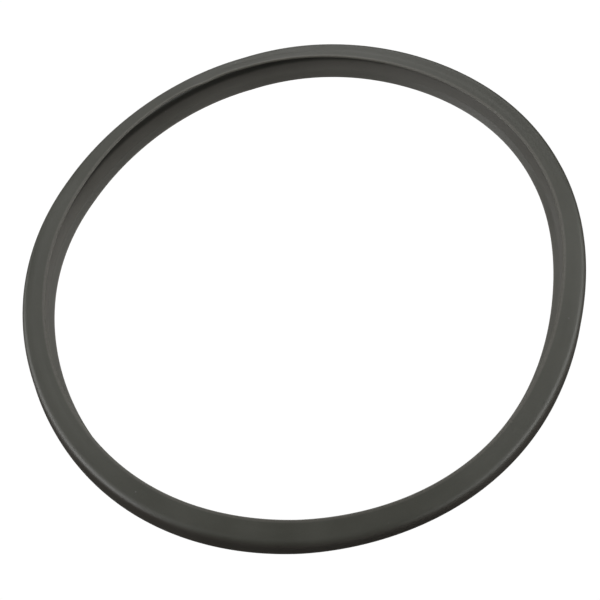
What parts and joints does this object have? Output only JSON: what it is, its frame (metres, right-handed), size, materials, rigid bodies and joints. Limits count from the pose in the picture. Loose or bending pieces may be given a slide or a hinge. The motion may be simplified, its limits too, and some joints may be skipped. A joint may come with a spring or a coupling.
{
  "type": "pressure cooker sealing ring",
  "caption": "Round rubber sealing ring with a C-shaped section open toward its centre: a rounded outer wall, a raised top lip and a flat, bevelled bottom lip.",
  "frame": {"origin": "centre of the ring on the plane of its flat base", "axes": "+Z is the ring's axis and points up, from the flat bottom lip to the raised top lip; the ring is the same all the way round, so X and Y are free"},
  "size_m": [0.24, 0.24, 0.0124],
  "materials": {
    "black_rubber": "satin moulded"
  },
  "bodies": {
    "root": {"sealing_ring": "black_rubber"}
  },
  "joints": []
}
